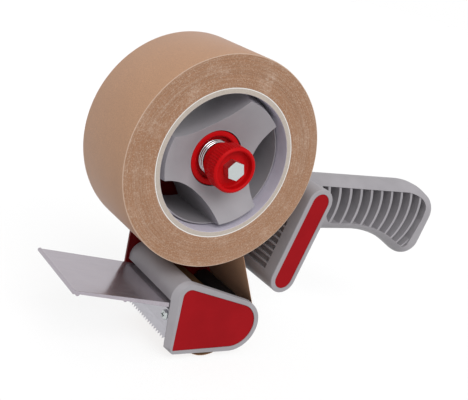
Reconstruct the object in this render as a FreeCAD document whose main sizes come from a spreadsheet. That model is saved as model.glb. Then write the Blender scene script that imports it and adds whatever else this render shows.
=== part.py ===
import FreeCAD, Part
import math
import os
import Sketcher

# Hand-held dispenser for 50 mm packing tape on a 76 mm core.
# Gun axes: X points from the roll towards the handle, Z up, Y away from the near side. The roll's
# axis is Y, through X = Z = 0, and Y = 0 is the middle of the tape. "Near" distances count towards -Y.

doc = FreeCAD.newDocument("tape_dispenser")
sheet = doc.addObject("Spreadsheet::Sheet", "Sizes")
TINY = 1e-9

# name, value in millimetres (degrees where the note says so), note
SIZE_TABLE = [
    ("tape_width", 50, "width of the tape and its core"),
    ("roll_radius", 58.4, "outside of the wound tape"),
    ("core_outer", 41, "radius, outside of the card core"),
    ("core_inner", 38, "radius of the 76 mm core bore"),
    ("axis_height", 114.05, "roll axis above the surface it stands on"),
    ("plate_inner", 27, "inner face of the side plate, beyond the middle"),
    ("plate_thickness", 2, "steel side plate"),
    ("plate_hub", 19, "radius of the plate around the hub"),
    ("plate_edge", 0.6, "rounded edge of the plate"),
    ("near_wall_inner", 25.5, "inner face of the nose's near wall"),
    ("rim_front", 28.2, "top of the rim around the nose inlay"),
    ("inlay_floor", 27, "floor of the nose inlay's recess"),
    ("inlay_front", 27.8, "face of the nose inlay"),
    ("end_x", 31.5, "centre of the nose's round end"),
    ("end_z", -94.1, "centre of the nose's round end"),
    ("end_radius", 16.4, "round end of the nose rim"),
    ("brow_x", -2.9, "centre of the nose's upper corner"),
    ("brow_z", -74.3, "centre of the nose's upper corner"),
    ("brow_radius", 7, "upper corner of the nose rim"),
    ("heel_x", -4.7, "centre of the nose's lower corner"),
    ("heel_z", -107.8, "centre of the nose's lower corner"),
    ("heel_radius", 2.2, "lower corner of the nose rim"),
    ("rim_width", 2.9, "width of the raised rims"),
    ("front_x", -13.4, "outer face of the nose's front wall"),
    ("front_bend", 9, "radius of the front wall's upper bend"),
    ("front_wall", 2.5, "thickness of the nose walls"),
    ("slot_top", -77.8, "lower edge of the front wall, above the flap"),
    ("shelf_top", -85.5, "top of the wall that carries the blade"),
    ("shelf_low", -99, "bottom of the wall that carries the blade"),
    ("shelf_x", -8.5, "outer face of the wall that carries the blade"),
    ("guard_x", -8.6, "centre of the near wall's guard corner"),
    ("guard_z", -105.2, "centre of the near wall's guard corner"),
    ("guard_radius", 2, "near wall's guard corner beside the blade"),
    ("bend_z", -75.5, "centre of the front wall's upper bend"),
    ("press_x", 17, "press roller axis"),
    ("press_z", -97.2, "press roller axis"),
    ("press_radius", 16.3, "outside of the press roller's tyre"),
    ("press_core", 12.5, "radius under the tyre"),
    ("press_axle", 3, "radius of the press roller's axle"),
    ("guide_x", 39.2, "guide roller axis"),
    ("guide_z", -89.9, "guide roller axis"),
    ("guide_radius", 6, "outside of the guide roller"),
    ("guide_axle", 2, "radius of the guide roller's axle"),
    ("roller_half", 24.5, "half length of both rollers"),
    ("running_fit", 0.05, "radial clearance of a turning fit"),
    ("clearance", 0.3, "gap between pieces that move past each other"),
    ("tape_film", 0.25, "thickness of the free tape"),
    ("tape_gap", 0.3, "gap between the free tape and the rollers"),
    ("peel_x", 27.1, "where the tape leaves the roll"),
    ("peel_z", -52.4, "where the tape leaves the roll"),
    ("blade_steel", 1, "thickness of the cutter blade"),
    ("blade_bend", -96.5, "height of the bend above the teeth"),
    ("tooth_tip_x", -11.3, "tips of the teeth"),
    ("tooth_tip_z", -102.2, "tips of the teeth"),
    ("tooth_pitch", 2.56, "spacing of the teeth"),
    ("tooth_depth", 2.1, "depth of the teeth"),
    ("blade_screw_z", -90.2, "height of the blade screws"),
    ("blade_screw_near", 18.6, "near blade screw, from the middle"),
    ("flap_tip_x", -70.9, "outer edge of the wiper flap"),
    ("flap_tip_z", -70.9, "outer edge of the wiper flap, top face"),
    ("flap_axis_x", -11.2, "line that the flap bends about"),
    ("flap_axis_z", -81.3, "line that the flap bends about"),
    ("flap_sheet", 1.2, "thickness of the flap's sheet"),
    ("flap_rim", 2.6, "depth of the flap's side rims at the root"),
    ("flap_bead", 1.4, "radius of the bead along the flap's root"),
    ("sheet_x", 47, "face of the retainer towards the free tape"),
    ("sheet_low", -89.6, "lower edge of the retainer"),
    ("sheet_top", -64, "upper edge of the retainer"),
    ("sheet_near", 10.3, "near end of the retainer"),
    ("sheet_steel", 0.8, "thickness of the retainer"),
    ("block_low_x", 60.3, "lower end of the handle block"),
    ("block_low_z", -66.5, "lower end of the handle block"),
    ("block_top_x", 71.2, "upper end of the handle block"),
    ("block_top_z", -19, "upper end of the handle block"),
    ("block_radius", 8.9, "rounded ends of the handle block"),
    ("block_near", 25, "near end of the handle block"),
    ("grip_reach", 189.5, "end of the grip from the roll axis"),
    ("grip_half", 10, "half width of the grip"),
    ("grip_offset", 1, "grip centre beyond the middle of the tape"),
    ("grip_web", 2, "thickness of the web inside the grip"),
    ("grip_web_shift", 5, "web's distance beyond the middle of the grip"),
    ("grip_round", 9, "rounded edges of the grip"),
    ("rib_thickness", 1.9, "ribs inside the grip"),
    ("rib_pitch", 8.8, "spacing of the grip's ribs"),
    ("rib_radius", 22, "curve of the grip's ribs"),
    ("hub_radius", 37.7, "drum that carries the core"),
    ("hub_wall", 1.2, "wall of the drum"),
    ("hub_back", 24.5, "back of the drum, beyond the middle"),
    ("drum_front", 16, "near edge of the drum between the arms"),
    ("arm_front", 23.5, "near face of the arms at their tips"),
    ("arm_tip", 34.8, "radius at the arm tips"),
    ("arm_waist", 20.5, "radius of the star half way between arms"),
    ("arm_half_angle", 18, "half the width of an arm tip, degrees"),
    ("dish_front", 15.4, "near face of the star around the cup"),
    ("cup_radius", 15.3, "outside of the spring cup"),
    ("cup_bore", 11.9, "inside of the spring cup"),
    ("cup_rim", 15, "near edge of the spring cup"),
    ("cup_floor", 11.5, "floor of the spring cup"),
    ("cup_seat", 7, "seat of the cup in the hub"),
    ("boss_radius", 11, "boss around the hub's bore"),
    ("liner_radius", 8.5, "outside of the hub's liner"),
    ("sleeve_radius", 6.5, "outside of the fixed axle sleeve"),
    ("sleeve_front", 5, "near end of the axle sleeve"),
    ("bolt_radius", 3, "M6 brake bolt"),
    ("bolt_across", 9.2, "bolt head across flats"),
    ("bolt_front", 35, "near face of the bolt head"),
    ("bolt_end", -22, "far end of the brake bolt"),
    ("spring_radius", 9.9, "outside of the brake spring"),
    ("spring_wire", 0.5, "radius of the brake spring's wire"),
    ("spring_turns", 3, "turns of the brake spring"),
    ("washer_thickness", 1, "thrust washer"),
    ("knob_radius", 12.5, "outside of the brake knob"),
    ("knob_back", 25.2, "far face of the knob's head"),
    ("knob_front", 34.4, "near face of the knob"),
    ("collar_radius", 10.4, "collar behind the knob's head"),
    ("collar_back", 19.4, "far face of the knob's collar"),
    ("knob_recess", 10.3, "radius of the knob's front recess"),
    ("knob_floor", 30, "floor of the knob's front recess"),
    ("stem_radius", 7.5, "knob stem inside the spring"),
    ("stem_end", 12, "far end of the knob stem"),
]


class Size:
    """A number together with the spreadsheet formula that it comes from."""

    def __init__(self, value, text=None):
        self.value = float(value)
        self.text = repr(float(value)) if text is None else text

    def combine(self, other, sign, value):
        other = other if isinstance(other, Size) else Size(other)
        return Size(value(self.value, other.value), "(%s %s %s)" % (self.text, sign, other.text))

    def __add__(self, other):
        return self.combine(other, "+", lambda a, b: a + b)

    def __sub__(self, other):
        return self.combine(other, "-", lambda a, b: a - b)

    def __mul__(self, other):
        return self.combine(other, "*", lambda a, b: a * b)

    def __truediv__(self, other):
        return self.combine(other, "/", lambda a, b: a / b)

    def __radd__(self, other):
        return Size(other) + self

    def __rsub__(self, other):
        return Size(other) - self

    def __rmul__(self, other):
        return Size(other) * self

    def __neg__(self):
        return Size(0) - self

    def __float__(self):
        return self.value


class Sizes:
    """Every cell of the sheet as an attribute, such as size.tape_width."""


def fill_sheet():
    sizes = Sizes()
    for row, (name, number, note) in enumerate(SIZE_TABLE, start=1):
        sheet.set("A%d" % row, name)
        sheet.set("B%d" % row, str(number))
        sheet.set("C%d" % row, note)
        sheet.setAlias("B%d" % row, name)
        setattr(sizes, name, Size(number, "Sizes.%s" % name))
    doc.recompute()
    return sizes


size = fill_sheet()

# The row frame: the origin is under the middle of the whole dispenser, on the surface it stands on.
SHIFT = (
    -(size.grip_reach + size.flap_tip_x) / 2,
    (size.bolt_front - size.plate_inner - size.plate_thickness) / 2,
    size.axis_height,
)


# ---------------------------------------------------------------- sketches and features


def sized(amount):
    return amount if isinstance(amount, Size) else Size(amount)


def bind(owner, path, amount):
    owner.setExpression(path, sized(amount).text)


def place(owner, x=0, near=0, z=0, turn=None):
    """Put an object on a point of the gun axes; every piece goes through here."""
    target = (SHIFT[0] + x, SHIFT[1] - near, SHIFT[2] + z)
    rotation = turn or FreeCAD.Rotation()
    owner.Placement = FreeCAD.Placement(FreeCAD.Vector(*[float(t) for t in target]), rotation)
    for axis, amount in zip("xyz", target):
        bind(owner, "Placement.Base." + axis, amount)


def new_body(label, x=0, near=0, z=0, turn=None):
    body = doc.addObject("PartDesign::Body", label)
    body.Label = label
    place(body, x, near, z, turn)
    return body


def sketch_on(body, role, name, offset=0):
    plane = [item for item in body.Origin.OriginFeatures if item.Role == role][0]
    sketch = body.newObject("Sketcher::SketchObject", name)
    sketch.AttachmentSupport = (plane, [""])
    sketch.MapMode = "FlatFace"
    bind(sketch, "AttachmentOffset.Base.z", offset)
    doc.recompute()
    return sketch


def side_sketch(body, name, near):
    """A side view, X to the right and Z up, at a distance towards the near side."""
    return sketch_on(body, "XZ_Plane", name, near)


def fix_point(sketch, shape, end, x, y):
    for kind, axis, amount in (("DistanceX", -2, sized(x)), ("DistanceY", -1, sized(y))):
        if abs(amount.value) < TINY:
            sketch.addConstraint(Sketcher.Constraint("PointOnObject", shape, end, axis))
        else:
            index = sketch.addConstraint(Sketcher.Constraint(kind, -1, 1, shape, end, amount.value))
            bind(sketch, "Constraints[%d]" % index, amount)


def fix_radius(sketch, shape, radius):
    index = sketch.addConstraint(Sketcher.Constraint("Radius", shape, sized(radius).value))
    bind(sketch, "Constraints[%d]" % index, radius)


def circle(sketch, x, y, radius):
    centre = FreeCAD.Vector(float(x), float(y), 0)
    shape = sketch.addGeometry(Part.Circle(centre, FreeCAD.Vector(0, 0, 1), float(radius)), False)
    fix_point(sketch, shape, 3, x, y)
    fix_radius(sketch, shape, radius)


def arc_between(start, finish, radius):
    """The short arc from start to finish; a positive radius turns anticlockwise."""
    chord = finish - start
    left = FreeCAD.Vector(-chord.y, chord.x, 0).normalize()
    rise = math.sqrt(radius ** 2 - (chord.Length / 2) ** 2)
    centre = (start + finish) / 2 + left * math.copysign(rise, radius)
    first, last = (start, finish) if radius > 0 else (finish, start)
    angles = [math.atan2(point.y - centre.y, point.x - centre.x) for point in (first, last)]
    ring = Part.Circle(centre, FreeCAD.Vector(0, 0, 1), abs(radius))
    return Part.ArcOfCircle(ring, angles[0], angles[1])


def outline(sketch, points):
    """A closed outline. A point with a third number is reached by an arc of that radius."""
    spots = [FreeCAD.Vector(float(point[0]), float(point[1]), 0) for point in points]
    shapes = []
    for index, point in enumerate(points):
        before, here = spots[index - 1], spots[index]
        bend = point[2] if len(point) > 2 else None
        curve = Part.LineSegment(before, here) if bend is None else arc_between(before, here, float(bend))
        shape = sketch.addGeometry(curve, False)
        clockwise = bend is not None and float(bend) < 0
        shapes.append((shape, 2 if clockwise else 1, 1 if clockwise else 2))
        if bend is not None:
            fix_radius(sketch, shape, -bend if clockwise else bend)
    for index, point in enumerate(points):
        shape, _, finish = shapes[index]
        following, start, _ = shapes[(index + 1) % len(shapes)]
        sketch.addConstraint(Sketcher.Constraint("Coincident", shape, finish, following, start))
        fix_point(sketch, shape, finish, point[0], point[1])


def belt(sketch, circles):
    """The outline of a belt pulled tight around circles (x, y, radius), given anticlockwise.

    The belt passes outside a circle with a negative radius, which hollows the outline there."""
    normals = []
    for index, (x, y, radius) in enumerate(circles):
        next_x, next_y, next_radius = circles[(index + 1) % len(circles)]
        across, up = float(next_x) - float(x), float(next_y) - float(y)
        lean = math.acos((float(radius) - float(next_radius)) / math.hypot(across, up))
        normals.append(math.atan2(up, across) - lean)
    arcs, lines = [], []
    for index, (x, y, radius) in enumerate(circles):
        ring = Part.Circle(FreeCAD.Vector(float(x), float(y), 0), FreeCAD.Vector(0, 0, 1), abs(float(radius)))
        first, last = normals[index - 1], normals[index]
        if float(radius) < 0:
            first, last = last + math.pi, first + math.pi
        arcs.append(sketch.addGeometry(Part.ArcOfCircle(ring, first, last), False))
    for index in range(len(circles)):
        ends = []
        for x, y, radius in (circles[index], circles[(index + 1) % len(circles)]):
            reach = float(radius)
            ends.append(FreeCAD.Vector(float(x) + reach * math.cos(normals[index]),
                                       float(y) + reach * math.sin(normals[index]), 0))
        lines.append(sketch.addGeometry(Part.LineSegment(*ends), False))
    for index, (x, y, radius) in enumerate(circles):
        start, finish = (2, 1) if float(radius) < 0 else (1, 2)
        sketch.addConstraint(Sketcher.Constraint("Tangent", lines[index - 1], 2, arcs[index], start))
        sketch.addConstraint(Sketcher.Constraint("Tangent", arcs[index], finish, lines[index], 1))
        fix_point(sketch, arcs[index], 3, x, y)
        fix_radius(sketch, arcs[index], -sized(radius) if float(radius) < 0 else radius)


def feature(body, kind, sketch, name, length):
    item = body.newObject("PartDesign::" + kind, name)
    item.Profile = sketch
    item.Length = float(length)
    bind(item, "Length", length)
    return item


def pad(body, name, low, high, draw, *arguments):
    """Material between two distances towards the near side, from a drawing function."""
    sketch = side_sketch(body, name + "_sketch", low)
    draw(sketch, *arguments)
    return feature(body, "Pad", sketch, name, sized(high) - low)


def pocket(body, name, low, high, draw, *arguments):
    """A cut between two distances towards the near side."""
    sketch = side_sketch(body, name + "_sketch", high)
    draw(sketch, *arguments)
    doc.recompute()
    before = body.Shape.Volume
    item = feature(body, "Pocket", sketch, name, sized(high) - low)
    doc.recompute()
    if body.Shape.Volume > before - TINY:
        raise RuntimeError(name + " cuts nothing")
    return item


def round_faces(body, name, distances, radius):
    """Round the edges of the flat faces at some distances towards the near side."""
    base = body.Tip
    names = ["Face%d" % number for number, face in enumerate(base.Shape.Faces, start=1)
             if min(abs(face.CenterOfMass.y + sized(near).value) for near in distances) < 1e-4]
    rounding = body.newObject("PartDesign::Fillet", name)
    rounding.Base = (base, names)
    rounding.Radius = float(radius)
    bind(rounding, "Radius", radius)


def turn_feature(body, kind, name, corners):
    sketch = sketch_on(body, "XY_Plane", name + "_sketch")
    outline(sketch, [(corner[0], -sized(corner[1])) + tuple(corner[2:]) for corner in corners])
    item = body.newObject("PartDesign::" + kind, name)
    item.Profile = sketch
    item.ReferenceAxis = (sketch, ["V_Axis"])
    item.Angle = 360
    return item


def turned(label, corners, x=0, near=0, z=0, turn=None):
    """A piece turned about Y: its corners are (radius, distance towards the near side)."""
    body = new_body(label, x, near, z, turn)
    turn_feature(body, "Revolution", label + "_turning", corners)
    return body


def tube(label, outer, inner, low, high, x=0, z=0):
    corners = [(inner, low), (inner, high), (outer, high), (outer, low)]
    return turned(label, corners, x, 0, z)


def rod(label, radius, low, high, x=0, z=0):
    corners = [(0, low), (0, high), (radius, high), (radius, low)]
    return turned(label, corners, x, 0, z)


def combine(kind, label, first, second):
    """Part's Cut or Common of two objects."""
    item = doc.addObject("Part::" + kind, label)
    item.Label = label
    item.Base, item.Tool = first, second
    return item


def fuse(label, pieces):
    item = doc.addObject("Part::MultiFuse", label)
    item.Label = label
    item.Shapes = pieces
    return item


def group(label, pieces):
    """Identical fasteners as one node of separate solids."""
    item = doc.addObject("Part::Compound", label)
    item.Label = label
    item.Links = pieces
    return item


nodes = []


def keep(item):
    nodes.append(item)
    return item


# ---------------------------------------------------------------- side plate and its fasteners

PLATE_OUTER = -(size.plate_inner + size.plate_thickness)
PLATE_INNER = -size.plate_inner
PLATE_SCREW_SPOTS = {
    "nose_screws": [(-5.4, -75.6), (-3.4, -90.5)],
    "handle_screws": [(61.5, -62), (66, -42.5), (70.2, -23)],
}
RETAINER_RIVET_SPOTS = [(51.2, -83.6), (56.5, -80)]
SCREW_SHANK, SCREW_HEAD, SCREW_LENGTH = 1.5, 3.3, 12
RIVET_SHANK, RIVET_HEAD, RIVET_RISE = 1.6, 2.8, 1.1
HOLE_FIT = 0.05
SLEEVE_STEP = 1.5


def plate_screw(name, x, z):
    """A countersunk screw, driven from the plate's outer face and flush with it."""
    corners = [(0, PLATE_OUTER), (SCREW_HEAD, PLATE_OUTER), (SCREW_SHANK, PLATE_INNER),
               (SCREW_SHANK, PLATE_OUTER + SCREW_LENGTH), (0, PLATE_OUTER + SCREW_LENGTH + 1)]
    body = turned(name, corners, x, 0, z)
    slot = 0.8
    pocket(body, name + "_drive", PLATE_OUTER - 1, PLATE_OUTER + slot, outline,
           [(-2, -0.4), (-0.4, -0.4), (-0.4, -2), (0.4, -2), (0.4, -0.4), (2, -0.4),
            (2, 0.4), (0.4, 0.4), (0.4, 2), (-0.4, 2), (-0.4, 0.4), (-2, 0.4)])
    return body


def plate_rivet(name, x, z):
    """A rivet with a low head on the retainer's flange, ground flush outside."""
    head = PLATE_INNER + size.sheet_steel
    corners = [(0, PLATE_OUTER), (RIVET_SHANK, PLATE_OUTER), (RIVET_SHANK, head), (RIVET_HEAD, head),
               (RIVET_HEAD - 0.8, head + RIVET_RISE), (0, head + RIVET_RISE)]
    return turned(name, corners, x, 0, z)


def cutter(name, radius, outer_radius, low, high, x, z):
    """A round or tapered hole, as a solid to take away."""
    corners = [(0, low), (outer_radius, low), (radius, high), (0, high)]
    return turned(name, corners, x, 0, z)


def side_plate():
    blank = new_body("plate_blank")
    pad(blank, "plate_pad", PLATE_OUTER, PLATE_INNER, belt, [
        (0, 0, size.plate_hub), (-9.5, -84, 5.5), (14, -101.5, 8),
        (size.end_x, size.end_z, size.end_radius - 0.9),
        (size.block_low_x, size.block_low_z, size.block_radius),
        (size.block_top_x, size.block_top_z, size.block_radius)])
    doc.recompute()
    round_faces(blank, "plate_edge_round", [PLATE_OUTER], size.plate_edge)
    over, under = PLATE_OUTER - 1, PLATE_INNER + 1
    tools = []
    for group_name, spots in PLATE_SCREW_SPOTS.items():
        for index, (x, z) in enumerate(spots):
            tools.append(cutter("%s_hole_%d" % (group_name, index), SCREW_SHANK + HOLE_FIT,
                                SCREW_HEAD + HOLE_FIT, PLATE_OUTER, PLATE_INNER, x, z))
    rounds = [(size.sleeve_radius - SLEEVE_STEP, 0, 0), (size.press_axle, size.press_x, size.press_z),
              (size.guide_axle, size.guide_x, size.guide_z)]
    rounds += [(Size(RIVET_SHANK), x, z) for x, z in RETAINER_RIVET_SPOTS]
    for index, (radius, x, z) in enumerate(rounds):
        tools.append(cutter("plate_hole_%d" % index, radius + HOLE_FIT, radius + HOLE_FIT, over, under, x, z))
    keep(combine("Cut", "side_plate", blank, fuse("plate_holes", tools)))


def plate_fasteners():
    for label, spots in PLATE_SCREW_SPOTS.items():
        keep(group(label, [plate_screw("%s_%d" % (label, n), x, z) for n, (x, z) in enumerate(spots)]))
    rivets = [plate_rivet("rivet_%d" % n, x, z) for n, (x, z) in enumerate(RETAINER_RIVET_SPOTS)]
    keep(group("retainer_rivets", rivets))


# ---------------------------------------------------------------- hub, brake and tape


def star(sketch, shrink):
    """The three-armed star in side view, pulled in all round by shrink."""
    tip, waist = size.hub_radius - 0.2 - shrink, size.arm_waist - shrink
    half = math.radians(size.arm_half_angle.value) - math.asin(shrink / tip.value)
    third = 2 * math.pi / 3
    points = []
    for arm in range(3):
        middle = math.pi - arm * third
        left, right = middle + half, middle - half
        points.append((tip * math.cos(left), tip * math.sin(left), star_edge_radius(tip, waist, half)))
        points.append((tip * math.cos(right), tip * math.sin(right), -tip))
    outline(sketch, points)


def star_edge_radius(tip, waist, half):
    """Radius of the hollow edge that runs from one arm's corner to the next through the waist."""
    angle = math.pi / 3 - half
    reach, along = tip.value * math.sin(angle), tip.value * math.cos(angle)
    sag = along - waist.value
    return Size((reach ** 2 + sag ** 2) / (2 * sag)) if sag > 0 else Size(-1000)


def hub():
    body = new_body("hub")
    front, back = size.drum_front, -size.hub_back
    outer, inner = size.hub_radius, size.hub_radius - size.hub_wall
    turn_feature(body, "Revolution", "drum", [(inner, back), (inner, front), (outer, front), (outer, back)])
    pad(body, "star_pad", back, size.arm_front, star, 0)
    doc.recompute()
    arm_wall, front_web = 2.5, 2
    pocket(body, "star_hollow", back - 1, size.sleeve_front - front_web, star, arm_wall)
    pad(body, "boss", back, size.sleeve_front, circle, 0, 0, size.boss_radius)
    rim, corner, clear = size.cup_radius + size.clearance + 0.4, size.drum_front - 2, size.knob_front
    turn_feature(body, "Groove", "dish", [
        (0, size.dish_front), (rim, size.dish_front), (size.arm_tip, size.arm_front), (outer, corner),
        (outer + 5, corner), (outer + 5, clear), (0, clear)])
    seat = size.cup_radius + size.clearance
    pocket(body, "cup_seat_cut", size.cup_seat, size.arm_front, circle, 0, 0, seat)
    pocket(body, "liner_bore", back - 1, size.arm_front, circle, 0, 0, size.liner_radius)
    keep(body)


def hub_inner_pieces():
    bore = size.sleeve_radius + size.running_fit
    bolt_bore = size.bolt_radius + size.running_fit
    neck = size.sleeve_radius - SLEEVE_STEP
    liner_back = -(size.hub_back + 0.8)
    keep(turned("hub_sleeve", [
        (bolt_bore, size.sleeve_front), (size.sleeve_radius, size.sleeve_front),
        (size.sleeve_radius, PLATE_INNER), (neck, PLATE_INNER), (neck, PLATE_OUTER),
        (bolt_bore, PLATE_OUTER)]))
    keep(tube("hub_liner", size.liner_radius, bore, liner_back, size.cup_seat))
    keep(tube("rear_washer", size.boss_radius, size.sleeve_radius + HOLE_FIT, PLATE_INNER,
              liner_back - size.clearance))


def brake():
    stem_bore = size.stem_radius + size.clearance
    rim, floor = size.cup_rim, size.cup_floor
    bevel, lip = 0.6, 1.1
    keep(turned("brake_cup", [
        (stem_bore, size.cup_seat), (stem_bore, floor), (size.cup_bore, floor), (size.cup_bore, rim - lip),
        (size.cup_bore + lip, rim, lip), (size.cup_radius - lip, rim), (size.cup_radius, rim - lip, lip),
        (size.cup_radius, size.cup_seat)]))
    washer_front = size.collar_back - size.running_fit
    keep(tube("brake_washer", size.collar_radius - bevel, stem_bore,
              washer_front - size.washer_thickness, washer_front))
    brake_knob(bevel)
    bolt = rod("brake_bolt", size.bolt_radius, size.bolt_end, size.knob_floor)
    corner = size.bolt_across / math.sqrt(3)
    turns = [math.radians(47 + 60 * number) for number in range(6)]
    pad(bolt, "hex_head", size.knob_floor, size.bolt_front, outline,
        [(corner * math.cos(turn), corner * math.sin(turn)) for turn in turns])
    keep(bolt)


def brake_knob(bevel):
    """The knob's head with its recess, on a stem that guides the spring; knurled all round."""
    front, back, floor = size.knob_front, size.knob_back, size.knob_floor
    recess, outer, bore = size.knob_recess, size.knob_radius, size.bolt_radius + size.running_fit
    knob = turned("brake_knob", [
        (bore, size.stem_end), (bore, floor), (recess - bevel, floor), (recess, floor + bevel),
        (recess, front - bevel), (recess + bevel, front), (outer - 1, front), (outer, front - 1),
        (outer, back + bevel), (outer - bevel, back), (size.collar_radius, back),
        (size.collar_radius, size.collar_back), (size.stem_radius, size.collar_back),
        (size.stem_radius, size.stem_end)])
    groove_radius, groove_depth = 0.55, 0.3
    knurl = pocket(knob, "knurl_groove", back, front, circle, outer + groove_radius - groove_depth, 0,
                   groove_radius)
    pattern = knob.newObject("PartDesign::PolarPattern", "knurl")
    pattern.Originals = [knurl]
    pattern.Axis = (knurl.Profile[0], ["N_Axis"])
    pattern.Angle = 360
    pattern.Occurrences = 48
    knob.Tip = pattern
    keep(knob)


def brake_spring():
    body = new_body("brake_spring")
    sketch = sketch_on(body, "XY_Plane", "spring_wire_sketch")
    low = size.cup_floor + size.spring_wire + HOLE_FIT
    washer_back = size.collar_back - size.running_fit - size.washer_thickness
    high = washer_back - size.spring_wire - HOLE_FIT
    circle(sketch, size.spring_radius - size.spring_wire, -high, size.spring_wire)
    coil = body.newObject("PartDesign::AdditiveHelix", "spring_coil")
    coil.Profile = sketch
    coil.ReferenceAxis = (sketch, ["V_Axis"])
    coil.Mode = 1
    coil.Pitch = float((high - low) / size.spring_turns)
    bind(coil, "Pitch", (high - low) / size.spring_turns)
    coil.Turns = float(size.spring_turns)
    bind(coil, "Turns", size.spring_turns)
    keep(body)


def tape():
    half = size.tape_width / 2
    keep(tube("tape_core", size.core_outer, size.core_inner, -half, half))
    keep(tube("tape_roll", size.roll_radius, size.core_outer, -half, half))


# ---------------------------------------------------------------- nose, rollers and free tape


def inlay_circles(inset):
    """The nose inlay's outline, pulled in by inset from the rim, as circles anticlockwise."""
    return [(-3.1, -74.9, 7.2 - inset), (size.heel_x - 0.3, size.heel_z + 0.7, 0.9),
            (size.end_x, size.end_z, size.end_radius - inset)]


def rim_circles():
    """The front of the nose's rim, as circles anticlockwise."""
    return [(size.brow_x, size.brow_z, size.brow_radius), (-5.1, -106, 2.2),
            (size.heel_x, size.heel_z, size.heel_radius), (size.end_x, size.end_z, size.end_radius - 0.2)]


def near_wall_circles():
    """The near wall where it meets the front wall, as circles anticlockwise."""
    return [(size.front_x + size.front_bend, size.bend_z, size.front_bend),
            (size.guard_x, size.guard_z, size.guard_radius), (-3.8, -109, 2),
            (size.end_x, size.end_z, size.end_radius)]


def front_wall_section(sketch):
    """The wall above the flap's slot: straight up, then bent over towards the roll."""
    bend, wall = size.front_bend, size.front_wall
    centre_x, centre_z = size.front_x + bend, size.bend_z
    lean = math.radians(80)
    inner = bend - wall
    outline(sketch, [
        (size.front_x, size.slot_top), (size.front_x + wall, size.slot_top), (size.front_x + wall, centre_z),
        (centre_x + inner * math.cos(lean), centre_z + inner * math.sin(lean), -inner),
        (centre_x + bend * math.cos(lean), centre_z + bend * math.sin(lean)),
        (size.front_x, centre_z, bend)])


def box_outline(sketch, left, bottom, right, top):
    outline(sketch, [(left, bottom), (right, bottom), (right, top), (left, top)])


def nose():
    body = new_body("nose_blank")
    inner, outer = size.near_wall_inner, size.inlay_floor
    wide = side_sketch(body, "near_wall_sketch", inner)
    belt(wide, near_wall_circles())
    rim = side_sketch(body, "rim_sketch", size.rim_front)
    belt(rim, rim_circles())
    wall = body.newObject("PartDesign::AdditiveLoft", "near_wall")
    wall.Profile, wall.Sections, wall.Ruled = wide, [rim], True
    doc.recompute()
    pad(body, "front_wall_pad", PLATE_INNER, inner, front_wall_section)
    pad(body, "blade_shelf", PLATE_INNER, inner, box_outline,
        size.shelf_x, size.shelf_low, size.shelf_x + size.front_wall, size.shelf_top)
    for index, (x, z) in enumerate(PLATE_SCREW_SPOTS["nose_screws"]):
        pad(body, "pillar_%d" % index, PLATE_INNER, inner, circle, x, z, 4)
        pocket(body, "pillar_hole_%d" % index, PLATE_INNER - 1, PLATE_OUTER + SCREW_LENGTH + 2, circle,
               x, z, SCREW_SHANK + HOLE_FIT)
    pocket(body, "inlay_recess", outer, size.rim_front + 1, belt, inlay_circles(size.rim_width))
    for name, x, z, radius in (("press", size.press_x, size.press_z, size.press_axle),
                               ("guide", size.guide_x, size.guide_z, size.guide_axle)):
        pocket(body, name + "_axle_hole", inner - 1, outer, circle, x, z, radius + HOLE_FIT)
    keep(combine("Cut", "nose_housing", body, blade_screw_holes("nose")))
    inlay = new_body("nose_inlay")
    pad(inlay, "nose_inlay_pad", size.inlay_floor, size.inlay_front, belt,
        inlay_circles(size.rim_width + 0.1))
    keep(inlay)


def rollers():
    half, axle = size.roller_half, size.press_axle
    x, z = size.press_x, size.press_z
    keep(tube("press_tyre", size.press_radius, size.press_core, -half, half, x, z))
    hub_radius, bush = axle + 2.6, axle + 1.4
    rim, web = size.press_core - 2, 1.2
    keep(turned("press_drum", [
        (bush, -half), (bush, half), (hub_radius, half), (hub_radius, web), (rim, web), (rim, half),
        (size.press_core, half), (size.press_core, -half), (rim, -half), (rim, -web), (hub_radius, -web),
        (hub_radius, -half)], x, 0, z))
    bore = axle + size.running_fit
    bushes = [tube("press_bush_%d" % index, bush, bore, low, low + 8, x, z)
              for index, low in enumerate((-half, half - 8))]
    keep(group("press_bushes", bushes))
    keep(rod("press_axle", axle, PLATE_OUTER, size.inlay_floor, x, z))
    x, z = size.guide_x, size.guide_z
    keep(tube("guide_roller", size.guide_radius, size.guide_axle + size.running_fit, -half, half, x, z))
    keep(rod("guide_axle", size.guide_axle, PLATE_OUTER, size.inlay_floor, x, z))


def touch_point(spot, centre, radius, side):
    """Where the line from spot touches a circle; side is +1 or -1."""
    gap = centre - spot
    lean = math.atan2(gap.z, gap.x) + side * math.asin(radius / gap.Length)
    length = math.sqrt(gap.Length ** 2 - radius ** 2)
    return spot + FreeCAD.Vector(length * math.cos(lean), 0, length * math.sin(lean))


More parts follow.
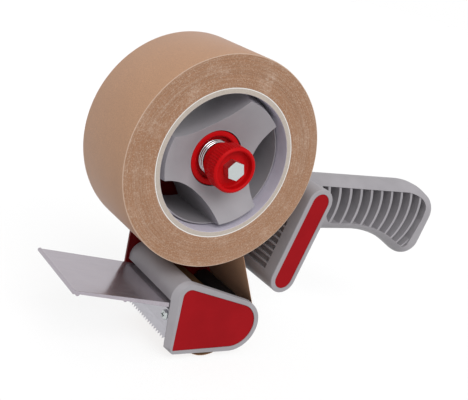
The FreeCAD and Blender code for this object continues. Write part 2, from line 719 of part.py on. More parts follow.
def tape_web():
    """The free tape: off the roll, round the guide roller, under the press roller, to the teeth."""
    gap, film, width = size.tape_gap.value, size.tape_film.value, size.tape_width.value

    def spot(x, z):
        return FreeCAD.Vector(float(x), -width / 2, float(z))

    peel, cut = spot(size.peel_x, size.peel_z), spot(size.shelf_x + 1, size.shelf_low - 1.8)
    guide, press = spot(size.guide_x, size.guide_z), spot(size.press_x, size.press_z)
    guide_radius, press_radius = size.guide_radius.value + gap, size.press_radius.value + gap
    onto_guide = touch_point(peel, guide, guide_radius, 1)
    onto_cut = touch_point(cut, press, press_radius, -1)
    centres = press - guide
    lean = math.atan2(centres.z, centres.x) + math.acos((guide_radius - press_radius) / centres.Length)
    out = FreeCAD.Vector(math.cos(lean), 0, math.sin(lean))
    off_guide, onto_press = guide + out * guide_radius, press + out * press_radius
    guide_side = guide + FreeCAD.Vector(1, 0, -0.2).normalize() * guide_radius
    press_side = press + ((onto_press + onto_cut) / 2 - press).normalize() * press_radius
    path = Part.Wire([
        Part.makeLine(peel, onto_guide), Part.Arc(onto_guide, guide_side, off_guide).toShape(),
        Part.makeLine(off_guide, onto_press), Part.Arc(onto_press, press_side, onto_cut).toShape(),
        Part.makeLine(onto_cut, cut)])
    strip = path.makeOffset2D(film, 2, True, True)
    face = strip if strip.ShapeType == "Face" else Part.Face(strip)
    web = doc.addObject("Part::Feature", "tape_web")
    web.Label = "tape_web"
    web.Shape = face.extrude(FreeCAD.Vector(0, width, 0))
    place(web)
    keep(web)


# ---------------------------------------------------------------- blade, flap and retainer


BLADE_FACE = size.shelf_x - size.blade_steel
BLADE_SCREW_NEARS = (size.blade_screw_near, -size.blade_screw_near)
BLADE_SHANK, BLADE_SCREW_LENGTH = 1.2, 4
TO_X = FreeCAD.Rotation(FreeCAD.Vector(0, 0, 1), -90)


def blade_screw_holes(name):
    """Both blade screw holes, as solids to take away."""
    radius, length = BLADE_SHANK + HOLE_FIT, BLADE_SCREW_LENGTH + 1
    corners = [(0, -length), (radius, -length), (radius, 1), (0, 1)]
    return fuse(name + "_blade_holes", [
        turned("%s_blade_hole_%d" % (name, index), corners, BLADE_FACE, near, size.blade_screw_z, TO_X)
        for index, near in enumerate(BLADE_SCREW_NEARS)])


def blade():
    body = new_body("blade_blank")
    face = BLADE_FACE
    tip_x, tip_z, bend = size.tooth_tip_x, size.tooth_tip_z, size.blade_bend
    width = size.tape_width / 2
    pad(body, "blade_sheet", -width - 1, width, outline, [
        (face, size.shelf_top - 0.7), (face, bend), (tip_x, tip_z), (size.shelf_x - 1.2, bend - 3.8),
        (size.shelf_x, bend - 0.4), (size.shelf_x, size.shelf_top - 0.7)])
    doc.recompute()
    notch = sketch_on(body, "YZ_Plane", "notch_sketch", tip_x - 3)
    start, half_pitch = -width + 0.4, size.tooth_pitch / 2
    outline(notch, [(start, tip_z + size.tooth_depth), (start - half_pitch, tip_z - 0.3),
                    (start - half_pitch, tip_z - 1), (start + half_pitch, tip_z - 1),
                    (start + half_pitch, tip_z - 0.3)])
    cut = feature(body, "Pocket", notch, "notch", 8)
    cut.Reversed = True
    teeth = body.newObject("PartDesign::LinearPattern", "teeth")
    teeth.Originals = [cut]
    teeth.Direction = (notch, ["H_Axis"])
    count = int((2 * width.value + 0.6) / size.tooth_pitch.value)
    teeth.Length = count * size.tooth_pitch.value
    teeth.Occurrences = count + 1
    body.Tip = teeth
    keep(combine("Cut", "cutter_blade", body, blade_screw_holes("cutter")))
    keep(group("blade_screws", [pan_screw("blade_screw_%d" % index, BLADE_FACE, near, size.blade_screw_z)
                                for index, near in enumerate(BLADE_SCREW_NEARS)]))


def pan_screw(name, x, near, z):
    """A cross-head screw driven along +X into the shelf."""
    shank, end = BLADE_SHANK, -BLADE_SCREW_LENGTH
    corners = [(0, end), (shank, end + 0.6), (shank, 0), (2.9, 0), (2.9, 0.7), (2.3, 1.5), (1.3, 1.9), (0, 2)]
    body = turned(name, corners, x, near, z, TO_X)
    pocket(body, name + "_drive", 0.9, 2.5, outline,
           [(-1.6, -0.35), (-0.35, -0.35), (-0.35, -1.6), (0.35, -1.6), (0.35, -0.35), (1.6, -0.35),
            (1.6, 0.35), (0.35, 0.35), (0.35, 1.6), (-0.35, 1.6), (-0.35, 0.35), (-1.6, 0.35)])
    return body


def flap():
    body = new_body("wiper_flap")
    half = size.tape_width / 2
    tip_x, tip_z, sheet = size.flap_tip_x, size.flap_tip_z, size.flap_sheet
    root_x, root_z = size.flap_axis_x, size.flap_axis_z + size.flap_bead
    pad(body, "flap_sheet_pad", -half, half, outline, [
        (tip_x, tip_z), (tip_x + 0.3, tip_z - sheet), (root_x, root_z - sheet), (root_x, root_z)])
    pad(body, "flap_bead_pad", -half, half, circle, root_x, size.flap_axis_z, size.flap_bead)
    rim = [(tip_x, tip_z), (tip_x + 0.4, tip_z - 1.6), (root_x, root_z - size.flap_rim), (root_x, root_z)]
    pad(body, "flap_near_rim", half - 1.5, half, outline, rim)
    pad(body, "flap_far_rim", -half, -half + 1.5, outline, rim)
    pad(body, "flap_lip", -half, half, circle, tip_x + 1.2, tip_z - 0.9, 1.15)
    for index, x in enumerate((-67.5, -40)):
        drop = (tip_z - root_z) * ((x - tip_x.value) / (root_x.value - tip_x.value))
        pad(body, "flap_nub_%d" % index, half - 3, half, circle, x, tip_z - drop - 1.5, 1.2)
    keep(body)


def retainer():
    """The steel sheet behind the free tape, with its stepped near edge, riveted to the side plate."""
    body = new_body("tape_retainer")
    face, steel, low = size.sheet_x, size.sheet_steel, size.sheet_low
    pad(body, "sheet", PLATE_INNER, size.sheet_near, box_outline, face, low, face + steel, size.sheet_top)
    pad(body, "flange", PLATE_INNER, PLATE_INNER + steel, belt, [
        (face + 2, low + 2, 2), (RETAINER_RIVET_SPOTS[1][0], RETAINER_RIVET_SPOTS[1][1], 3.2),
        (face + 2, -80, 2)])
    for index, (x, z) in enumerate(RETAINER_RIVET_SPOTS):
        pocket(body, "flange_hole_%d" % index, PLATE_INNER - 1, PLATE_INNER + 2, circle,
               x, z, RIVET_SHANK + HOLE_FIT)
    beyond = size.sheet_near.value + 3
    cuts = {
        "sheet_steps": [(-11, -60), (-11, -64.3), (-9.5, -69), (-3.4, -69.3), (-8.2, -75), (8, -76.6),
                        (6.5, -79.1), (10.3, -79.8), (3.6, -87.6), (3.6, -95), (beyond, -95), (beyond, -60)],
        "sheet_window": [(-21, -73.2), (-15.2, -73.2), (-15.2, -68.6), (-21, -68.6)],
    }
    for name, corners in cuts.items():
        cut_sheet(body, name, [(-near, z) for near, z in corners])
    keep(body)


def cut_sheet(body, name, corners):
    """A cut straight through the retainer's sheet; corners are (Y, Z)."""
    sketch = sketch_on(body, "YZ_Plane", name + "_sketch", 55)
    outline(sketch, corners)
    doc.recompute()
    before = body.Shape.Volume
    feature(body, "Pocket", sketch, name, 15)
    doc.recompute()
    if body.Shape.Volume > before - TINY:
        raise RuntimeError(name + " cuts nothing")


# ---------------------------------------------------------------- handle

GRIP_NEAR = size.grip_half - size.grip_offset
GRIP_FAR = -size.grip_half - size.grip_offset
RIB_DROP = 1.3
BLOCK_SHELL, BLOCK_RECESS, BLOCK_ROUND = 3, 0.9, 0.7
GROOVE_COUNT, GROOVE_PITCH, GROOVE_WIDTH, GROOVE_DEPTH = 12, 3.95, 2.9, 2.2
GROOVE_START, GROOVE_INSET = 0.6, 9


def grip_circles():
    """The grip's outline, as circles anticlockwise; the hollow one is where the fingers lie."""
    end = 14
    return [(74, -33.7, 10), (119.9, -125, -82), (173.6, -46.9, 12.3), (size.grip_reach - end, -29.3, end),
            (154, -58.6, 50), (74, -18.8, 9.8)]


def window_outline(sketch):
    reach = size.grip_reach - 11.5
    outline(sketch, [
        (93, -31), (99, -37.4, 9), (115, -37.1), (134.2, -39.4, -130), (152.5, -44.9, -90), (166.6, -52),
        (171.6, -50.4, 3), (reach - 0.6, -33), (reach, -25.5, 60), (172.5, -18, 9.5), (158, -14.2, 45),
        (84.5, -13.8)])


def grip_ribs(sketch):
    """Curved ribs, each longer than the window so that its ends run into the walls."""
    rise, drop = -9.9, -55
    radius, thick = size.rib_radius + 10, size.rib_thickness
    for number in range(11):
        left, back = 87.6 + number * size.rib_pitch, 17.2 - 0.4 * number
        outline(sketch, [(left - back + thick, drop), (left + thick, rise, radius), (left, rise),
                         (left - back, drop, -radius)])


def handle():
    blank = new_body("grip_blank")
    pad(blank, "grip_pad", GRIP_FAR, GRIP_NEAR, belt, grip_circles())
    doc.recompute()
    round_faces(blank, "grip_round", [GRIP_FAR, GRIP_NEAR], size.grip_round)
    window = new_body("grip_window")
    pad(window, "window_pad", GRIP_FAR - 2, GRIP_NEAR + 2, window_outline)
    lattice = new_body("grip_lattice")
    middle = -size.grip_offset - size.grip_web_shift
    pad(lattice, "grip_web_pad", middle - size.grip_web / 2, middle + size.grip_web / 2, box_outline,
        80, -60, 185, -5)
    pad(lattice, "grip_rib_pad", GRIP_FAR + RIB_DROP, GRIP_NEAR - RIB_DROP, grip_ribs)
    shell = combine("Cut", "grip_shell", blank, window)
    inside = combine("Common", "grip_inside", window, lattice)
    keep(fuse("handle", [shell, inside, block()]))


def block_circles(inset):
    return [(size.block_low_x, size.block_low_z, size.block_radius - inset),
            (size.block_top_x, size.block_top_z, size.block_radius - inset)]


def block():
    """The oblong block between the side plate and the grip, ribbed towards the roll."""
    body = new_body("handle_block")
    near = size.block_near
    pad(body, "block_pad", PLATE_INNER, near, belt, block_circles(0))
    doc.recompute()
    round_faces(body, "block_round", [near], BLOCK_ROUND)
    pocket(body, "block_hollow", PLATE_INNER - 1, near - BLOCK_SHELL, belt, block_circles(BLOCK_SHELL))
    for index, (x, z) in enumerate(PLATE_SCREW_SPOTS["handle_screws"]):
        pad(body, "block_boss_%d" % index, PLATE_INNER, near - BLOCK_SHELL, circle, x, z, 3.4)
        pocket(body, "block_boss_hole_%d" % index, PLATE_INNER - 1, PLATE_OUTER + SCREW_LENGTH + 2, circle,
               x, z, SCREW_SHANK + HOLE_FIT)
    pocket(body, "block_recess", near - BLOCK_RECESS, near + 1, belt, block_circles(size.rim_width.value))
    pocket(body, "block_grooves", PLATE_INNER - 1, near - GROOVE_INSET, block_grooves)
    return body


def block_grooves(sketch):
    """Grooves across the block's face towards the roll; what stands between them is its ribs."""
    foot = FreeCAD.Vector(float(size.block_low_x), float(size.block_low_z), 0)
    top = FreeCAD.Vector(float(size.block_top_x), float(size.block_top_z), 0)
    along = (top - foot).normalize()
    out = FreeCAD.Vector(-along.y, along.x, 0)
    low = foot + along * GROOVE_START + out * (size.block_radius.value - GROOVE_DEPTH)
    high = foot + along * GROOVE_START + out * (size.block_radius.value + 1)
    for number in range(GROOVE_COUNT):
        begin = along * (number * GROOVE_PITCH)
        end = begin + along * GROOVE_WIDTH
        corners = (high + begin, low + begin, low + end, high + end)
        outline(sketch, [(point.x, point.y) for point in corners])


def handle_inlay():
    inlay = new_body("handle_inlay")
    pad(inlay, "handle_inlay_pad", size.block_near - BLOCK_RECESS, size.block_near - 0.2, belt,
        block_circles(size.rim_width.value + 0.1))
    keep(inlay)


# ---------------------------------------------------------------- make, check and write


def build():
    side_plate()
    plate_fasteners()
    hub()
    hub_inner_pieces()
    brake()
    brake_spring()
    tape()
    nose()
    rollers()
    tape_web()
    blade()
    flap()
    retainer()
    handle()
    handle_inlay()
    doc.recompute()


def check():
    for item in doc.Objects:
        if "Invalid" in item.State or "Error" in item.State:
            raise RuntimeError("%s did not build: %s" % (item.Label, item.State))
    for node in nodes:
        if node.Shape.isNull() or not node.Shape.isValid():
            raise RuntimeError("%s has no valid shape" % node.Label)
        print("%-16s %9.1f mm3  %d solids" % (node.Label, node.Shape.Volume, len(node.Shape.Solids)))


def write():
    os.makedirs("parts", exist_ok=True)
    whole = FreeCAD.BoundBox()
    for node in nodes:
        node.Shape.exportStep("parts/%s.step" % node.Label)
        whole.add(node.Shape.BoundBox)
    print("whole", whole)


build()
check()
write()
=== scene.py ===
import math
import random

import bmesh
import bpy
from mathutils import Matrix, Vector


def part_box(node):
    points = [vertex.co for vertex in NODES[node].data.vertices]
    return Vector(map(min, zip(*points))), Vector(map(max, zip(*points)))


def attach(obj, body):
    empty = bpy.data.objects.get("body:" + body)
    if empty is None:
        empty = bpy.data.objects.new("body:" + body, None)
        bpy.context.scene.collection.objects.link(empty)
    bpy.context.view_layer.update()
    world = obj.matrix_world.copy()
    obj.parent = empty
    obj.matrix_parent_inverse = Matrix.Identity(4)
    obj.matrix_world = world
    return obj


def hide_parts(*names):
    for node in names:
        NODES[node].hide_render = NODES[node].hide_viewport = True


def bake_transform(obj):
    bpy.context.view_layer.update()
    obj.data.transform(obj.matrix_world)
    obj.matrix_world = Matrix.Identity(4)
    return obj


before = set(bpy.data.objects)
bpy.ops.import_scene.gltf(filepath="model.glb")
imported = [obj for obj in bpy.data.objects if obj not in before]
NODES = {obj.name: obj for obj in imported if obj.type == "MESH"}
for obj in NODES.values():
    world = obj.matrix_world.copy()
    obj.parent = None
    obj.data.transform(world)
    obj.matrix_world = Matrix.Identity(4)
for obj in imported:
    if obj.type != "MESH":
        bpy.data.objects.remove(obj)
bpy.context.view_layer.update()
MM = 0.001


def middle(node):
    low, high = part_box(node)
    return (low + high) / 2


def radius_of(node):
    """Radius of a round node whose axis is Y."""
    low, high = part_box(node)
    return (high.x - low.x) / 2


AXIS = middle("tape_roll")
ROLL_RADIUS = radius_of("tape_roll")
CORE_RADIUS = radius_of("tape_core")
CORE_WALL = 3 * MM
CORE_BORE = CORE_RADIUS - CORE_WALL
TAPE_HALF = (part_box("tape_roll")[1].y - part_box("tape_roll")[0].y) / 2

# ---------------------------------------------------------------- camera, floor and light

# Metres from the middle of the roll, angles in degrees, and the lens and the sensor in millimetres.
CAMERA_FROM_ROLL = Vector((-0.24086, -0.36229, 0.10622))
CAMERA_AZIMUTH, CAMERA_DROP, CAMERA_ROLL = (math.radians(angle) for angle in (36.72, 16.59, 14.93))
CAMERA_LENS, CAMERA_SENSOR = 63.66, 36
CAMERA_NEAR, CAMERA_FAR = 0.01, 20

SHOWN_WORLD, GLOSS_WORLD = 1.0, 0.85
FILL_BELOW, FILL_ABOVE = 0.46, 0.66
FILL_LOW_END, FILL_HIGH_END = -0.6, 0.4
SOFTBOX_DIRECTION = Vector((0.15, 0.72, -0.66))
SOFTBOX_STRENGTH, SOFTBOX_SPREAD = 1.6, math.radians(40)
FLOOR_REACH = 6.0
FLOOR_ALPHA, FLOOR_GLOW = 0.22, 0.14


def make_camera():
    forward = Vector((math.sin(CAMERA_AZIMUTH) * math.cos(CAMERA_DROP),
                      math.cos(CAMERA_AZIMUTH) * math.cos(CAMERA_DROP), -math.sin(CAMERA_DROP)))
    level = forward.cross(Vector((0, 0, 1))).normalized()
    upright = level.cross(forward)
    right = level * math.cos(CAMERA_ROLL) + upright * math.sin(CAMERA_ROLL)
    up = right.cross(forward)
    data = bpy.data.cameras.new("camera")
    data.lens = CAMERA_LENS
    data.sensor_width = CAMERA_SENSOR
    data.clip_start, data.clip_end = CAMERA_NEAR, CAMERA_FAR
    camera = bpy.data.objects.new("camera", data)
    turn = Matrix((right, up, -forward)).transposed().to_4x4()
    camera.matrix_world = Matrix.Translation(AXIS + CAMERA_FROM_ROLL) @ turn
    bpy.context.scene.collection.objects.link(camera)
    bpy.context.scene.camera = camera


def make_softbox():
    data = bpy.data.lights.new("softbox", "SUN")
    data.energy = SOFTBOX_STRENGTH
    data.angle = SOFTBOX_SPREAD
    light = bpy.data.objects.new("softbox", data)
    light.rotation_euler = SOFTBOX_DIRECTION.to_track_quat("-Z", "Y").to_euler()
    bpy.context.scene.collection.objects.link(light)


def make_world():
    """White to the eye and in reflections, but dimmer as a light, so that hollows stay dark."""
    world = bpy.data.worlds.new("studio")
    world.use_nodes = True
    nodes, links = world.node_tree.nodes, world.node_tree.links
    path = nodes.new("ShaderNodeLightPath")
    height = nodes.new("ShaderNodeSeparateXYZ")
    links.new(nodes.new("ShaderNodeTexCoord").outputs["Generated"], height.inputs[0])
    fill = nodes.new("ShaderNodeMapRange")
    links.new(height.outputs["Z"], fill.inputs["Value"])
    for socket, value in (("From Min", FILL_LOW_END), ("From Max", FILL_HIGH_END),
                          ("To Min", FILL_BELOW), ("To Max", FILL_ABOVE)):
        fill.inputs[socket].default_value = value
    level = fill.outputs["Result"]
    for ray, strength in (("Is Glossy Ray", GLOSS_WORLD), ("Is Camera Ray", SHOWN_WORLD)):
        mix = nodes.new("ShaderNodeMix")
        links.new(path.outputs[ray], mix.inputs[0])
        links.new(level, mix.inputs[2])
        mix.inputs[3].default_value = strength
        level = mix.outputs[0]
    background = nodes["Background"]
    background.inputs["Color"].default_value = (1, 1, 1, 1)
    links.new(level, background.inputs["Strength"])
    bpy.context.scene.world = world


def make_studio():
    make_world()
    bpy.context.scene.view_settings.view_transform = "Standard"
    make_softbox()
    floor_mesh = bpy.data.meshes.new("floor")
    reach = FLOOR_REACH
    floor_mesh.from_pydata([(-reach, -reach, 0), (reach, -reach, 0), (reach, reach, 0), (-reach, reach, 0)],
                           [], [(0, 1, 2, 3)])
    floor = bpy.data.objects.new("floor", floor_mesh)
    bpy.context.scene.collection.objects.link(floor)
    floor.data.materials.append(floor_material())


# ---------------------------------------------------------------- material helpers


class Tree:
    """A material's node tree around one Principled shader."""

    def __init__(self, name, **sockets):
        self.material = bpy.data.materials.new(name)
        self.material.use_nodes = True
        self.nodes = self.material.node_tree.nodes
        self.links = self.material.node_tree.links
        self.shader = self.nodes["Principled BSDF"]
        for socket, value in sockets.items():
            self.shader.inputs[socket.replace("_", " ")].default_value = value

    def add(self, kind, inputs=(), **settings):
        node = self.nodes.new("ShaderNode" + kind)
        for key, value in settings.items():
            setattr(node, key, value)
        for key, value in dict(inputs).items():
            self.put(node.inputs[key], value)
        return node

    def put(self, socket, value):
        if isinstance(value, bpy.types.NodeSocket):
            self.links.new(value, socket)
        else:
            socket.default_value = value

    def place(self):
        """Position in the row frame at rest, in metres."""
        return self.add("TexCoord").outputs["Object"]

    def maths(self, operation, *values):
        node = self.add("Math", operation=operation)
        for socket, value in zip(node.inputs, values):
            self.put(socket, value)
        return node.outputs[0]

    def noise(self, size, detail=2.0, rough=0.5, stretch=(1, 1, 1), where=None):
        """Noise whose lumps are about size metres across."""
        vector = where or self.place()
        if stretch != (1, 1, 1):
            vector = self.add("VectorMath", {0: vector, 1: stretch}, operation="MULTIPLY").outputs[0]
        return self.add("TexNoise", {"Vector": vector, "Scale": 1 / size, "Detail": detail,
                                     "Roughness": rough}).outputs["Fac"]

    def ramp(self, factor, *stops):
        """Colours or greys at positions along a factor."""
        node = self.add("ValToRGB", {"Fac": factor})
        points = node.color_ramp.elements
        while len(points) < len(stops):
            points.new(0.5)
        for point, (position, colour) in zip(points, stops):
            point.position = position
            point.color = colour if hasattr(colour, "__len__") else (colour, colour, colour, 1)
        return node.outputs["Color"]

    def mix(self, factor, first, second, blend="MIX"):
        node = self.add("Mix", data_type="RGBA", blend_type=blend)
        self.put(node.inputs[0], factor)
        self.put(node.inputs[6], first)
        self.put(node.inputs[7], second)
        return node.outputs[2]

    def bump(self, height, depth, normal=None):
        """A bump of depth metres."""
        node = self.add("Bump", {"Height": height, "Distance": depth, "Strength": 1.0})
        if normal is not None:
            self.put(node.inputs["Normal"], normal)
        return node.outputs["Normal"]

    def soft_normal(self, radius):
        """The surface's normal with its edges rounded."""
        return self.add("Bevel", {"Radius": radius}, samples=6).outputs["Normal"]

    def edges(self, radius, gain):
        """About 1 along sharp edges, 0 elsewhere."""
        flat = self.add("NewGeometry").outputs["Normal"]
        dot = self.add("VectorMath", {0: self.soft_normal(radius), 1: flat}, operation="DOT_PRODUCT")
        return self.maths("MULTIPLY", self.maths("SUBTRACT", 1.0, dot.outputs["Value"]), gain)

    def winding_side(self):
        """1 on faces across the roll's axis, 0 on its outside."""
        along = self.add("SeparateXYZ", {0: self.add("NewGeometry").outputs["True Normal"]}).outputs["Y"]
        return self.ramp(self.maths("ABSOLUTE", along), (0.3, 0.0), (0.7, 1.0))

    def from_axis(self):
        """Distance from the roll's axis, in metres."""
        shifted = self.add("VectorMath", {0: self.place(), 1: tuple(AXIS)}, operation="SUBTRACT").outputs[0]
        flat = self.add("VectorMath", {0: shifted, 1: (1, 0, 1)}, operation="MULTIPLY").outputs[0]
        return self.add("VectorMath", {0: flat}, operation="LENGTH").outputs["Value"]


def shade(colour, factor):
    return tuple(min(1.0, channel * factor) for channel in colour[:3]) + (1,)


def moulded_plastic(name, colour, roughness=0.45, shine=0.5):
    """Moulded plastic: a fine spark-eroded grain, slight mottling, and paler edges that are partly wear and
    partly a painted edge highlight.
    """
    grain, grain_depth, edge, mottle = 0.35 * MM, 0.02 * MM, 0.3 * MM, 0.06
    tree = Tree(name, Specular_IOR_Level=shine)
    cloud = tree.noise(14 * MM, 3)
    base = tree.ramp(cloud, (0.3, shade(colour, 1 - mottle)), (0.7, shade(colour, 1 + mottle)))
    # Edges painted paler: partly wear, partly a painted highlight along every edge.
    wear_and_painted_highlight = tree.mix(tree.edges(edge, 1.2), base, shade(colour, 1.35))
    tree.put(tree.shader.inputs["Base Color"], wear_and_painted_highlight)
    fine = tree.noise(grain, 3, 0.6)
    tree.put(tree.shader.inputs["Roughness"],
             tree.ramp(fine, (0.25, roughness * 0.85), (0.75, min(1.0, roughness * 1.2))))
    tree.put(tree.shader.inputs["Normal"], tree.bump(fine, grain_depth, tree.soft_normal(edge)))
    return tree.material


def metal(name, colour, roughness, stretch=(1, 1, 1)):
    """Bare or plated metal with rolling or turning marks."""
    grain, edge, depth = 0.4 * MM, 0.15 * MM, 0.004 * MM
    tree = Tree(name, Metallic=1.0)
    marks = tree.noise(grain, 4, 0.65, stretch)
    tree.put(tree.shader.inputs["Base Color"], tree.ramp(marks, (0.3, shade(colour, 0.85)),
                                                         (0.7, shade(colour, 1.1))))
    tree.put(tree.shader.inputs["Roughness"], tree.ramp(marks, (0.3, roughness * 0.75),
                                                        (0.7, roughness * 1.3)))
    tree.put(tree.shader.inputs["Normal"], tree.bump(marks, depth, tree.soft_normal(edge)))
    return tree.material


def floor_material():
    tree = Tree("studio_floor", Roughness=0.9, Alpha=FLOOR_ALPHA, Emission_Color=(1, 1, 1, 1),
                Emission_Strength=FLOOR_GLOW)
    cloud = tree.noise(0.3, 2)
    tree.put(tree.shader.inputs["Base Color"], tree.ramp(cloud, (0.3, 0.97), (0.7, 0.99)))
    return tree.material


GREY = (0.335, 0.32, 0.34)
INLAY_RED = (0.315, 0.008, 0.012)
GLOSS_RED = (0.52, 0.004, 0.006)
PAINT_RED = (0.13, 0.002, 0.003)
BLACK = (0.012, 0.012, 0.013)
WHITE = (0.7, 0.69, 0.66)
BROWN = (0.14, 0.08, 0.04)
ZINC = (0.62, 0.66, 0.66)
STEEL = (0.55, 0.54, 0.58)
BRIGHT_STEEL = (0.72, 0.72, 0.74)
BLUED_STEEL = (0.13, 0.27, 0.38)
FLAP_SILVER = (0.465, 0.425, 0.47)
KRAFT = (0.475, 0.268, 0.157)
PALE_KRAFT = (0.62, 0.47, 0.37)
KRAFT_SIDE_TINT = (0.71, 0.65, 0.60, 1)
CARD, PALE_CARD, CARD_FIBRE = (0.47, 0.41, 0.355, 1), (0.60, 0.545, 0.49, 1), (0.36, 0.30, 0.25, 1)
LINING, PALE_LINING = (0.55, 0.52, 0.61, 1), (0.60, 0.57, 0.655, 1)
CORE_LINE = (0.82, 0.80, 0.78, 1)
LINE_WIDTH = 0.5 * MM


def kraft_paper(name, wound=False):
    """Brown paper tape: fibres and specks, and on the roll's sides the edges of its winds and a painted
    highlight along the roll's outer edge.
    """
    tree = Tree(name, Sheen_Weight=0.12, Sheen_Roughness=0.4, Sheen_Tint=(0.85, 0.82, 1.0, 1),
                Specular_IOR_Level=0.3)
    specks = tree.noise(0.5 * MM, 3, 0.7)
    colour = tree.ramp(specks, (0.3, shade(KRAFT, 0.78)), (0.5, shade(KRAFT, 1.0)), (0.7, shade(KRAFT, 1.24)))
    cloud = tree.noise(18 * MM, 3)
    colour = tree.mix(tree.ramp(cloud, (0.35, 0.0), (0.75, 0.25)), colour, shade(KRAFT, 0.84))
    height = specks
    if wound:
        out = tree.from_axis()
        side = tree.winding_side()
        ring = tree.add("CombineXYZ", {"X": out}).outputs[0]
        drift = tree.add("VectorMath", {0: tree.place(), 1: (0.006, 0.006, 0.006)}, operation="MULTIPLY")
        wobble = tree.add("VectorMath", {0: ring, 1: drift.outputs[0]}, operation="ADD").outputs[0]
        fine = tree.noise(0.55 * MM, 3, 0.7, where=wobble)
        broad = tree.noise(2.4 * MM, 2, 0.5, where=wobble)
        edge_colour = tree.mix(side, (1, 1, 1, 1), KRAFT_SIDE_TINT)
        colour = tree.mix(1.0, colour, edge_colour, "MULTIPLY")
        patch = tree.maths("MULTIPLY", tree.ramp(tree.noise(22 * MM, 2), (0.40, 0.15), (0.60, 1.0)), side)
        lines = tree.maths("MULTIPLY", tree.ramp(fine, (0.50, 0.0), (0.70, 0.5)), patch)
        colour = tree.mix(lines, colour, shade(PALE_KRAFT, 0.9))
        dark = tree.maths("MULTIPLY", tree.ramp(broad, (0.35, 0.25), (0.55, 0.0)), side)
        colour = tree.mix(dark, colour, shade(KRAFT, 0.6))
        pale = tree.ramp(tree.noise(0.7 * MM, 3, 0.8), (0.50, 0.0), (0.66, 0.55))
        colour = tree.mix(tree.maths("MULTIPLY", pale, side), colour, shade(PALE_KRAFT, 0.95))
        scuff = tree.maths("MULTIPLY", tree.ramp(tree.noise(13 * MM, 3, 0.6), (0.54, 0.0), (0.72, 1.0)),
                           tree.ramp(tree.noise(1.6 * MM, 4, 0.8), (0.40, 0.0), (0.70, 0.75)))
        colour = tree.mix(tree.maths("MULTIPLY", scuff, side), colour, PALE_KRAFT + (1,))
        # A paler band at the outer edge of the roll's sides: a painted highlight along that edge.
        painted_rim_highlight = tree.maths("MULTIPLY", tree.maths("GREATER_THAN", out, ROLL_RADIUS - LINE_WIDTH), side)
        colour = tree.mix(tree.maths("MULTIPLY", painted_rim_highlight, 0.7), colour, PALE_KRAFT + (1,))
        height = tree.maths("ADD", specks, tree.maths("MULTIPLY", fine, 0.8))
    tree.put(tree.shader.inputs["Base Color"], colour)
    tree.put(tree.shader.inputs["Roughness"], tree.ramp(specks, (0.3, 0.42), (0.7, 0.62)))
    tree.put(tree.shader.inputs["Normal"], tree.bump(height, 0.03 * MM))
    return tree.material


def card_core_paper():
    """The grey-brown cut end of the core, with a white line round it and a pale paper lining."""
    tree = Tree("card_core_paper", Roughness=0.75)
    out = tree.from_axis()
    ply = tree.noise(0.35 * MM, 3, 0.7, where=tree.add("CombineXYZ", {"X": out}).outputs[0])
    fibre = tree.noise(0.8 * MM, 4, 0.7)
    cut = tree.mix(tree.ramp(ply, (0.35, 0.0), (0.65, 0.45)), CARD, PALE_CARD)
    cut = tree.mix(tree.ramp(fibre, (0.45, 0.0), (0.75, 0.5)), cut, CARD_FIBRE)
    lining = tree.mix(tree.ramp(tree.noise(6 * MM, 3), (0.3, 0.0), (0.7, 1.0)), LINING, PALE_LINING)
    line = tree.maths("GREATER_THAN", out, CORE_RADIUS - LINE_WIDTH)
    inside = tree.maths("LESS_THAN", out, CORE_BORE + 0.1 * MM)
    colour = tree.mix(inside, tree.mix(line, cut, CORE_LINE), lining)
    tree.put(tree.shader.inputs["Base Color"], colour)
    tree.put(tree.shader.inputs["Normal"], tree.bump(fibre, 0.05 * MM))
    return tree.material


def glossy_sheet(name, colour, metallic, roughness):
    """A smooth rolled sheet with faint waves, wiping marks and dust."""
    tree = Tree(name, Metallic=metallic)
    wipe = tree.noise(1.2 * MM, 4, 0.7, (0.15, 1, 0.15))
    dust = tree.noise(0.3 * MM, 2, 0.5)
    base = tree.ramp(wipe, (0.3, shade(colour, 0.93)), (0.7, shade(colour, 1.06)))
    base = tree.mix(tree.ramp(dust, (0.72, 0.0), (0.8, 0.35)), base, shade(colour, 1.5))
    tree.put(tree.shader.inputs["Base Color"], base)
    tree.put(tree.shader.inputs["Roughness"], tree.ramp(wipe, (0.3, roughness * 0.7), (0.7, roughness * 1.5)))
    tree.put(tree.shader.inputs["Normal"],
             tree.bump(tree.noise(22 * MM, 1), 0.25 * MM, tree.soft_normal(0.3 * MM)))
    return tree.material


# ---------------------------------------------------------------- turned and coiled pieces


def new_piece(name, mesh, material):
    piece = bpy.data.objects.new(name, mesh)
    bpy.context.scene.collection.objects.link(piece)
    piece.data.materials.append(material)
    return piece


def skin(mesh, rings, followers):
    """Faces between each ring of points and the one that follows it."""
    for ring, following in zip(rings, followers):
        for index in range(len(ring)):
            after = (index + 1) % len(ring)
            mesh.faces.new((ring[index], ring[after], following[after], following[index]))


def smooth_data(name, mesh):
    bmesh.ops.recalc_face_normals(mesh, faces=mesh.faces)
    data = bpy.data.meshes.new(name)
    mesh.to_mesh(data)
    mesh.free()
    data.shade_smooth()
    return data


LATHE_STEPS = 240
SHARP_ANGLE = math.radians(35)


def lathe(name, profile, material):
    """A piece turned about the roll's axis; its closed profile is (radius, distance towards -Y)."""
    mesh = bmesh.new()
    rings = []
    for step in range(LATHE_STEPS):
        turn = 2 * math.pi * step / LATHE_STEPS
        rings.append([mesh.verts.new((AXIS.x + radius * math.cos(turn), AXIS.y - near,
                                      AXIS.z + radius * math.sin(turn))) for radius, near in profile])
    skin(mesh, rings, rings[1:] + rings[:1])
    data = smooth_data(name, mesh)
    data.set_sharp_from_angle(angle=SHARP_ANGLE)
    return new_piece(name, data, material)


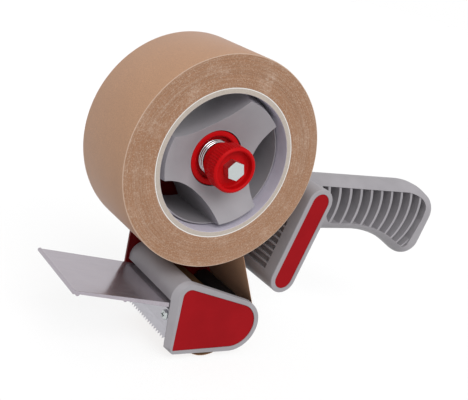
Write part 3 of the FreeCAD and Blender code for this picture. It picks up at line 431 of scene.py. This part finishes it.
def make_roll():
    """The wound tape: every few winds stand a little proud of the others."""
    half = TAPE_HALF
    wound = ROLL_RADIUS - CORE_RADIUS
    winds, wind_share, corner = 44, 0.9, 0.35 * MM
    fit, set_back, deepest = 0.02 * MM, 0.03 * MM, 0.14 * MM
    drop = 0.2 * MM
    chance = random.Random(7)

    def side(sign):
        points = []
        for wind in range(winds):
            low = CORE_RADIUS + fit + (wound - corner) * wind / winds
            high = CORE_RADIUS + (wound - corner) * (wind + wind_share) / winds
            depth = half - set_back - deepest * chance.random() ** 2
            points += [(low, sign * depth), (high, sign * depth)]
        return points

    near = side(1)
    edge = [(ROLL_RADIUS - 0.08 * MM, half - drop), (ROLL_RADIUS, half - corner - drop)]
    far_edge = [(radius, -place) for radius, place in reversed(edge)]
    profile = near + edge + far_edge + list(reversed(side(-1)))
    piece = lathe("wound_tape", profile, kraft_paper("wound_kraft", wound=True))
    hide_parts("tape_roll")
    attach(piece, "roll")


def make_core():
    """The card core, with a shallow step where its outer line begins."""
    half, soft = TAPE_HALF, 0.2 * MM
    profile = [(CORE_BORE, half - soft), (CORE_BORE + soft, half), (CORE_RADIUS - 0.55 * MM, half),
               (CORE_RADIUS - LINE_WIDTH, half - 0.1 * MM), (CORE_RADIUS - 0.02 * MM, half - 0.05 * MM)]
    profile += [(radius, -place) for radius, place in reversed(profile)]
    piece = lathe("card_core", profile, card_core_paper())
    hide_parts("tape_core")
    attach(piece, "roll")


def make_spring():
    """The brake spring, whose turns lie closer in the middle."""
    low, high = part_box("brake_spring")
    wire = 0.5 * MM
    coil = (high.x - low.x) / 2 - wire
    back, front = high.y - wire, low.y + wire
    turns, sides, per_turn = 3.0, 10, 48
    count = int(turns * per_turn)
    along = Vector((0, 1, 0))
    spins = [2 * math.pi * side / sides for side in range(sides)]
    mesh = bmesh.new()
    rings = []
    for step in range(count + 1):
        share = step / count
        turn = 2 * math.pi * step / per_turn
        eased = share + math.sin(2 * math.pi * share) / (2 * math.pi * turns)
        out = Vector((math.cos(turn), 0, math.sin(turn)))
        centre = Vector((AXIS.x + coil * math.cos(turn), back + (front - back) * eased,
                         AXIS.z + coil * math.sin(turn)))
        rings.append([mesh.verts.new(centre + wire * (out * math.cos(spin) + along * math.sin(spin)))
                      for spin in spins])
    skin(mesh, rings, rings[1:])
    mesh.faces.new(rings[0])
    mesh.faces.new(list(reversed(rings[-1])))
    data = smooth_data("coiled_spring", mesh)
    piece = new_piece("coiled_spring", data, metal("spring_steel", BRIGHT_STEEL, 0.22))
    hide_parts("brake_spring")
    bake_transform(piece)


def paint(node, material):
    slots = NODES[node].data.materials
    slots.clear()
    slots.append(material)


def paint_nodes():
    grey = moulded_plastic("grey_plastic", GREY, shine=0.3)
    red_inlay = moulded_plastic("red_inlay", INLAY_RED, roughness=0.5, shine=0.03)
    gloss_red = moulded_plastic("gloss_red_plastic", GLOSS_RED, roughness=0.38, shine=0.06)
    plate = moulded_plastic("red_painted_steel", PAINT_RED, roughness=0.28, shine=0.15)
    black = moulded_plastic("black_plastic", BLACK)
    white = moulded_plastic("white_plastic", WHITE)
    brown_rubber = moulded_plastic("brown_rubber", BROWN, roughness=0.7, shine=0.1)
    zinc = metal("zinc_plate", ZINC, 0.32)
    steel = metal("plain_steel", STEEL, 0.34, (1, 0.08, 1))
    blued = metal("blued_steel", BLUED_STEEL, 0.38)
    flap = glossy_sheet("flap_sheet", FLAP_SILVER, 0.75, 0.16)
    web = kraft_paper("web_kraft")
    finishes = {
        "side_plate": plate, "nose_screws": zinc, "handle_screws": zinc, "retainer_rivets": blued,
        "hub": grey, "hub_sleeve": steel, "hub_liner": white, "rear_washer": white, "brake_cup": gloss_red,
        "brake_washer": zinc, "brake_knob": gloss_red, "brake_bolt": zinc,
        "nose_housing": grey, "nose_inlay": red_inlay,
        "press_tyre": brown_rubber, "press_drum": black, "press_bushes": white, "press_axle": steel,
        "guide_roller": black, "guide_axle": steel, "tape_web": web, "cutter_blade": steel,
        "blade_screws": zinc, "wiper_flap": flap, "tape_retainer": blued, "handle": grey,
        "handle_inlay": red_inlay,
    }
    for node, material in finishes.items():
        paint(node, material)


make_camera()
make_studio()
make_roll()
make_core()
make_spring()
paint_nodes()
